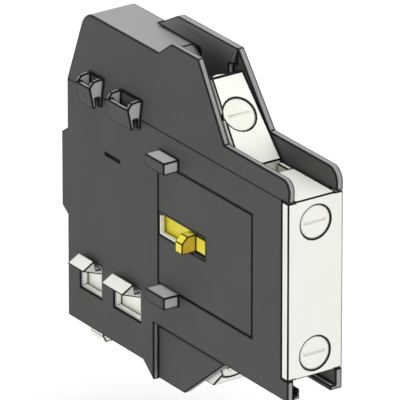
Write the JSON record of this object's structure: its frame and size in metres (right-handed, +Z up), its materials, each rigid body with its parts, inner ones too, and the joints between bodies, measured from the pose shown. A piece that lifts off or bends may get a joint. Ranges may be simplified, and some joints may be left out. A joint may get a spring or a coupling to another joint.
{
  "type": "auxiliary contact block",
  "caption": "Narrow side-mounted auxiliary contact block: dark moulded casing with clip hooks, yellow sliding nub, white latch hooks and cream screw terminals.",
  "frame": {"origin": "on the flat mating face, in front of the actuator window and halfway up the inset guide plate", "axes": "+X across the narrow width, away from the device the block is fixed to; -Y towards the terminal face; +Z up"},
  "size_m": [0.0162, 0.0765, 0.0705],
  "materials": {
    "main_housing": "satin moulded",
    "outer_cover": "satin moulded",
    "guide_plate": "satin moulded",
    "actuator_collar": "satin moulded",
    "latch_guide": "satin moulded",
    "latch_slider": "satin moulded",
    "latch_spring": "drawn wire",
    "contact_carrier": "satin moulded",
    "return_spring": "drawn wire",
    "rear_bridge": "stamped",
    "rear_contact_spring": "drawn wire",
    "front_bridge": "stamped",
    "front_contact_spring": "drawn wire",
    "terminal_frame": "satin moulded",
    "front_cover": "satin moulded",
    "rear_upper_screw": "zinc plated",
    "rear_upper_clamp": "zinc plated",
    "rear_upper_strip": "stamped",
    "rear_lower_screw": "zinc plated",
    "rear_lower_clamp": "zinc plated",
    "rear_lower_strip": "stamped",
    "front_upper_screw": "zinc plated",
    "front_upper_clamp": "zinc plated",
    "front_upper_strip": "stamped",
    "front_lower_screw": "zinc plated",
    "front_lower_clamp": "zinc plated",
    "front_lower_strip": "stamped"
  },
  "bodies": {
    "casing": {"main_housing": "main_housing", "outer_cover": "outer_cover", "guide_plate": "guide_plate", "actuator_collar": "actuator_collar", "latch_guide": "latch_guide", "terminal_frame": "terminal_frame", "front_cover": "front_cover", "rear_upper_strip": "rear_upper_strip", "rear_lower_strip": "rear_lower_strip", "front_upper_strip": "front_upper_strip", "front_lower_strip": "front_lower_strip", "return_spring": "return_spring", "latch_spring": "latch_spring"},
    "carrier": {"contact_carrier": "contact_carrier", "rear_contact_spring": "rear_contact_spring", "front_contact_spring": "front_contact_spring"},
    "latch": {"latch_slider": "latch_slider"},
    "rear_bridge_body": {"rear_bridge": "rear_bridge"},
    "front_bridge_body": {"front_bridge": "front_bridge"},
    "rear_upper_clamp_body": {"rear_upper_clamp": "rear_upper_clamp"},
    "rear_lower_clamp_body": {"rear_lower_clamp": "rear_lower_clamp"},
    "front_upper_clamp_body": {"front_upper_clamp": "front_upper_clamp"},
    "front_lower_clamp_body": {"front_lower_clamp": "front_lower_clamp"},
    "rear_upper_screw_body": {"rear_upper_screw": "rear_upper_screw"},
    "rear_lower_screw_body": {"rear_lower_screw": "rear_lower_screw"},
    "front_upper_screw_body": {"front_upper_screw": "front_upper_screw"},
    "front_lower_screw_body": {"front_lower_screw": "front_lower_screw"}
  },
  "joints": [
    {"name": "carrier_slide", "type": "slide", "parent": "casing", "child": "carrier", "axis": [0, 1, 0], "range_m": [0, 0.005], "stiffness_N_per_m": 200, "springref_m": -0.004, "deforming": ["return_spring"]},
    {"name": "latch_slide", "type": "slide", "parent": "casing", "child": "latch", "axis": [0, 0, -1], "range_m": [0, 0.0018], "stiffness_N_per_m": 600, "springref_m": -0.002, "deforming": ["latch_spring"]},
    {"name": "rear_bridge_slide", "type": "slide", "parent": "carrier", "child": "rear_bridge_body", "axis": [0, -1, 0], "range_m": [0, 0.001], "stiffness_N_per_m": 300, "springref_m": -0.001, "deforming": ["rear_contact_spring"]},
    {"name": "front_bridge_slide", "type": "slide", "parent": "carrier", "child": "front_bridge_body", "axis": [0, -1, 0], "range_m": [0, 0.001], "stiffness_N_per_m": 300, "springref_m": -0.001, "deforming": ["front_contact_spring"]},
    {"name": "rear_upper_clamp_slide", "type": "slide", "parent": "casing", "child": "rear_upper_clamp_body", "axis": [0, 0.7251, -0.6886], "range_m": [0, 0.0012]},
    {"name": "rear_lower_clamp_slide", "type": "slide", "parent": "casing", "child": "rear_lower_clamp_body", "axis": [0, 0.7251, 0.6886], "range_m": [0, 0.0012]},
    {"name": "front_upper_clamp_slide", "type": "slide", "parent": "casing", "child": "front_upper_clamp_body", "axis": [0, 1, 0], "range_m": [0, 0.0012]},
    {"name": "front_lower_clamp_slide", "type": "slide", "parent": "casing", "child": "front_lower_clamp_body", "axis": [0, 1, 0], "range_m": [0, 0.0012]},
    {"name": "rear_upper_screw_turn", "type": "hinge", "parent": "rear_upper_clamp_body", "child": "rear_upper_screw_body", "pos_m": [0.00625, 0.00543, 0.02704], "axis": [0, 0.7251, -0.6886], "range_deg": [0, 720]},
    {"name": "rear_lower_screw_turn", "type": "hinge", "parent": "rear_lower_clamp_body", "child": "rear_lower_screw_body", "pos_m": [0.00625, 0.00543, -0.02549], "axis": [0, 0.7251, 0.6886], "range_deg": [0, 720]},
    {"name": "front_upper_screw_turn", "type": "hinge", "parent": "front_upper_clamp_body", "child": "front_upper_screw_body", "pos_m": [0.00625, -0.01965, 0.01388], "axis": [0, 1, 0], "range_deg": [0, 720]},
    {"name": "front_lower_screw_turn", "type": "hinge", "parent": "front_lower_clamp_body", "child": "front_lower_screw_body", "pos_m": [0.00625, -0.01965, -0.01293], "axis": [0, 1, 0], "range_deg": [0, 720]}
  ],
  "couplings": [
    {"joint": "rear_upper_screw_turn", "follows": "rear_upper_clamp_slide", "rad_per_m": 10472},
    {"joint": "rear_lower_screw_turn", "follows": "rear_lower_clamp_slide", "rad_per_m": 10472},
    {"joint": "front_upper_screw_turn", "follows": "front_upper_clamp_slide", "rad_per_m": 10472},
    {"joint": "front_lower_screw_turn", "follows": "front_lower_clamp_slide", "rad_per_m": 10472}
  ]
}
